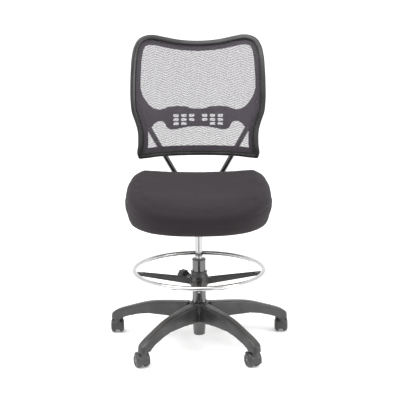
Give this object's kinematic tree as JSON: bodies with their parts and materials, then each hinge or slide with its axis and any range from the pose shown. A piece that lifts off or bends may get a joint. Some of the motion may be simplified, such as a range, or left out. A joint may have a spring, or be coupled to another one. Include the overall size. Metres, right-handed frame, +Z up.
{
  "type": "drafting chair",
  "caption": "Armless tall drafting chair with a mesh back, padded seat, gas lift, chrome footring and five-star caster base.",
  "frame": {"origin": "on the floor, on the column's axis", "axes": "+Z up, -Y the way a sitter faces, +X the sitter's left"},
  "size_m": [0.6558, 0.6462, 1.0833],
  "materials": {
    "nylon_black": "moulded black nylon, satin",
    "caster_plastic": "moulded black nylon, satin",
    "steel": "zinc plated steel",
    "gloss_black_steel": "gloss black paint on steel",
    "chrome": "bright chrome plate",
    "control_steel": "satin black paint on pressed steel",
    "bush_plastic": "grey acetal",
    "plywood": "bare plywood",
    "seat_fabric": "black woven upholstery",
    "mesh_fabric": "dark grey herringbone mesh",
    "frame_plastic": "moulded black nylon, fine grain",
    "spline_rubber": "black rubber cord"
  },
  "bodies": {
    "base": {"base_star": "nylon_black", "column_tube": "gloss_black_steel", "column_bush": "bush_plastic", "thrust_bearing": "steel"},
    "piston": {"piston_rod": "steel", "rod_clip": "steel", "gas_piston": "bush_plastic"},
    "lift": {"gas_cylinder": "chrome", "rod_guide": "bush_plastic", "control_housing": "control_steel", "tilt_pin": "steel", "tension_spring": "steel"},
    "release": {"release_button": "steel"},
    "lever": {"height_lever": "control_steel", "lever_paddle": "nylon_black"},
    "tension": {"tension_bolt": "steel", "tension_knob": "nylon_black"},
    "seat": {"seat_plate": "control_steel", "seat_board": "plywood", "seat_cushion": "seat_fabric", "seat_bolts": "steel", "back_bar_left": "gloss_black_steel", "back_bar_right": "gloss_black_steel", "bar_clamp": "control_steel", "clamp_bolts": "steel", "back_frame": "frame_plastic", "mesh_spline": "spline_rubber", "back_mesh": "mesh_fabric", "lumbar_support": "frame_plastic", "back_screws": "steel"},
    "footring": {"footring_tube": "chrome", "footring_hub": "nylon_black", "footring_screws": "steel"},
    "ring_knob": {"footring_knob": "nylon_black", "footring_knob_screw": "steel"},
    "caster_1": {"caster_hood_1": "caster_plastic", "caster_stem_1": "steel", "caster_axle_1": "steel"},
    "wheel_1_left": {"caster_wheel_1_left": "caster_plastic"},
    "wheel_1_right": {"caster_wheel_1_right": "caster_plastic"},
    "caster_2": {"caster_hood_2": "caster_plastic", "caster_stem_2": "steel", "caster_axle_2": "steel"},
    "wheel_2_left": {"caster_wheel_2_left": "caster_plastic"},
    "wheel_2_right": {"caster_wheel_2_right": "caster_plastic"},
    "caster_3": {"caster_hood_3": "caster_plastic", "caster_stem_3": "steel", "caster_axle_3": "steel"},
    "wheel_3_left": {"caster_wheel_3_left": "caster_plastic"},
    "wheel_3_right": {"caster_wheel_3_right": "caster_plastic"},
    "caster_4": {"caster_hood_4": "caster_plastic", "caster_stem_4": "steel", "caster_axle_4": "steel"},
    "wheel_4_left": {"caster_wheel_4_left": "caster_plastic"},
    "wheel_4_right": {"caster_wheel_4_right": "caster_plastic"},
    "caster_5": {"caster_hood_5": "caster_plastic", "caster_stem_5": "steel", "caster_axle_5": "steel"},
    "wheel_5_left": {"caster_wheel_5_left": "caster_plastic"},
    "wheel_5_right": {"caster_wheel_5_right": "caster_plastic"}
  },
  "joints": [
    {"name": "seat_swivel", "type": "hinge", "parent": "base", "child": "piston", "pos_m": [0, 0, 0.2], "axis": [0, 0, 1], "continuous": true},
    {"name": "height_slide", "type": "slide", "parent": "piston", "child": "lift", "axis": [0, 0, 1], "range_m": [-0.035, 0.17]},
    {"name": "seat_tilt", "type": "hinge", "parent": "lift", "child": "seat", "pos_m": [0, -0.038, 0.424], "axis": [-1, 0, 0], "range_deg": [0, 12], "stiffness_Nm_per_rad": 80, "springref_deg": -28.65, "deforming": ["tension_spring"]},
    {"name": "height_lever", "type": "hinge", "parent": "lift", "child": "lever", "pos_m": [-0.0535, 0, 0.431], "axis": [0, 1, 0], "range_deg": [0, 3.5], "stiffness_Nm_per_rad": 1.2, "springref_deg": -8.59},
    {"name": "release_press", "type": "slide", "parent": "lift", "child": "release", "axis": [0, 0, -1], "range_m": [0, 0.0033]},
    {"name": "tension_turn", "type": "hinge", "parent": "lift", "child": "tension", "pos_m": [0, 0.055, 0.39], "axis": [0, 0, 1], "continuous": true},
    {"name": "footring_slide", "type": "slide", "parent": "base", "child": "footring", "axis": [0, 0, 1], "range_m": [-0.055, 0.04]},
    {"name": "ring_knob_turn", "type": "hinge", "parent": "footring", "child": "ring_knob", "pos_m": [0, 0, 0.235], "axis": [-0.7071, 0.7071, 0], "continuous": true},
    {"name": "caster_swivel_1", "type": "hinge", "parent": "base", "child": "caster_1", "pos_m": [0.30434, 0.09889, 0.05], "axis": [0, 0, 1], "continuous": true},
    {"name": "wheel_spin_1_left", "type": "hinge", "parent": "caster_1", "child": "wheel_1_left", "pos_m": [0.30434, 0.11689, 0.025], "axis": [-1, 0, 0], "continuous": true},
    {"name": "wheel_spin_1_right", "type": "hinge", "parent": "caster_1", "child": "wheel_1_right", "pos_m": [0.30434, 0.11689, 0.025], "axis": [-1, 0, 0], "continuous": true},
    {"name": "caster_swivel_2", "type": "hinge", "parent": "base", "child": "caster_2", "pos_m": [0, 0.32, 0.05], "axis": [0, 0, 1], "continuous": true},
    {"name": "wheel_spin_2_left", "type": "hinge", "parent": "caster_2", "child": "wheel_2_left", "pos_m": [0.009, 0.33559, 0.025], "axis": [-0.866, 0.5, 0], "continuous": true},
    {"name": "wheel_spin_2_right", "type": "hinge", "parent": "caster_2", "child": "wheel_2_right", "pos_m": [0.009, 0.33559, 0.025], "axis": [-0.866, 0.5, 0], "continuous": true},
    {"name": "caster_swivel_3", "type": "hinge", "parent": "base", "child": "caster_3", "pos_m": [-0.30434, 0.09889, 0.05], "axis": [0, 0, 1], "continuous": true},
    {"name": "wheel_spin_3_left", "type": "hinge", "parent": "caster_3", "child": "wheel_3_left", "pos_m": [-0.30434, 0.11689, 0.025], "axis": [-1, 0, 0], "continuous": true},
    {"name": "wheel_spin_3_right", "type": "hinge", "parent": "caster_3", "child": "wheel_3_right", "pos_m": [-0.30434, 0.11689, 0.025], "axis": [-1, 0, 0], "continuous": true},
    {"name": "caster_swivel_4", "type": "hinge", "parent": "base", "child": "caster_4", "pos_m": [-0.18809, -0.25888, 0.05], "axis": [0, 0, 1], "continuous": true},
    {"name": "wheel_spin_4_left", "type": "hinge", "parent": "caster_4", "child": "wheel_4_left", "pos_m": [-0.1957, -0.24257, 0.025], "axis": [-0.9063, -0.4226, 0], "continuous": true},
    {"name": "wheel_spin_4_right", "type": "hinge", "parent": "caster_4", "child": "wheel_4_right", "pos_m": [-0.1957, -0.24257, 0.025], "axis": [-0.9063, -0.4226, 0], "continuous": true},
    {"name": "caster_swivel_5", "type": "hinge", "parent": "base", "child": "caster_5", "pos_m": [0.18809, -0.25888, 0.05], "axis": [0, 0, 1], "continuous": true},
    {"name": "wheel_spin_5_left", "type": "hinge", "parent": "caster_5", "child": "wheel_5_left", "pos_m": [0.18048, -0.24257, 0.025], "axis": [-0.9063, -0.4226, 0], "continuous": true},
    {"name": "wheel_spin_5_right", "type": "hinge", "parent": "caster_5", "child": "wheel_5_right", "pos_m": [0.18048, -0.24257, 0.025], "axis": [-0.9063, -0.4226, 0], "continuous": true}
  ],
  "couplings": [
    {"joint": "release_press", "follows": "height_lever", "m_per_rad": 0.0535}
  ]
}
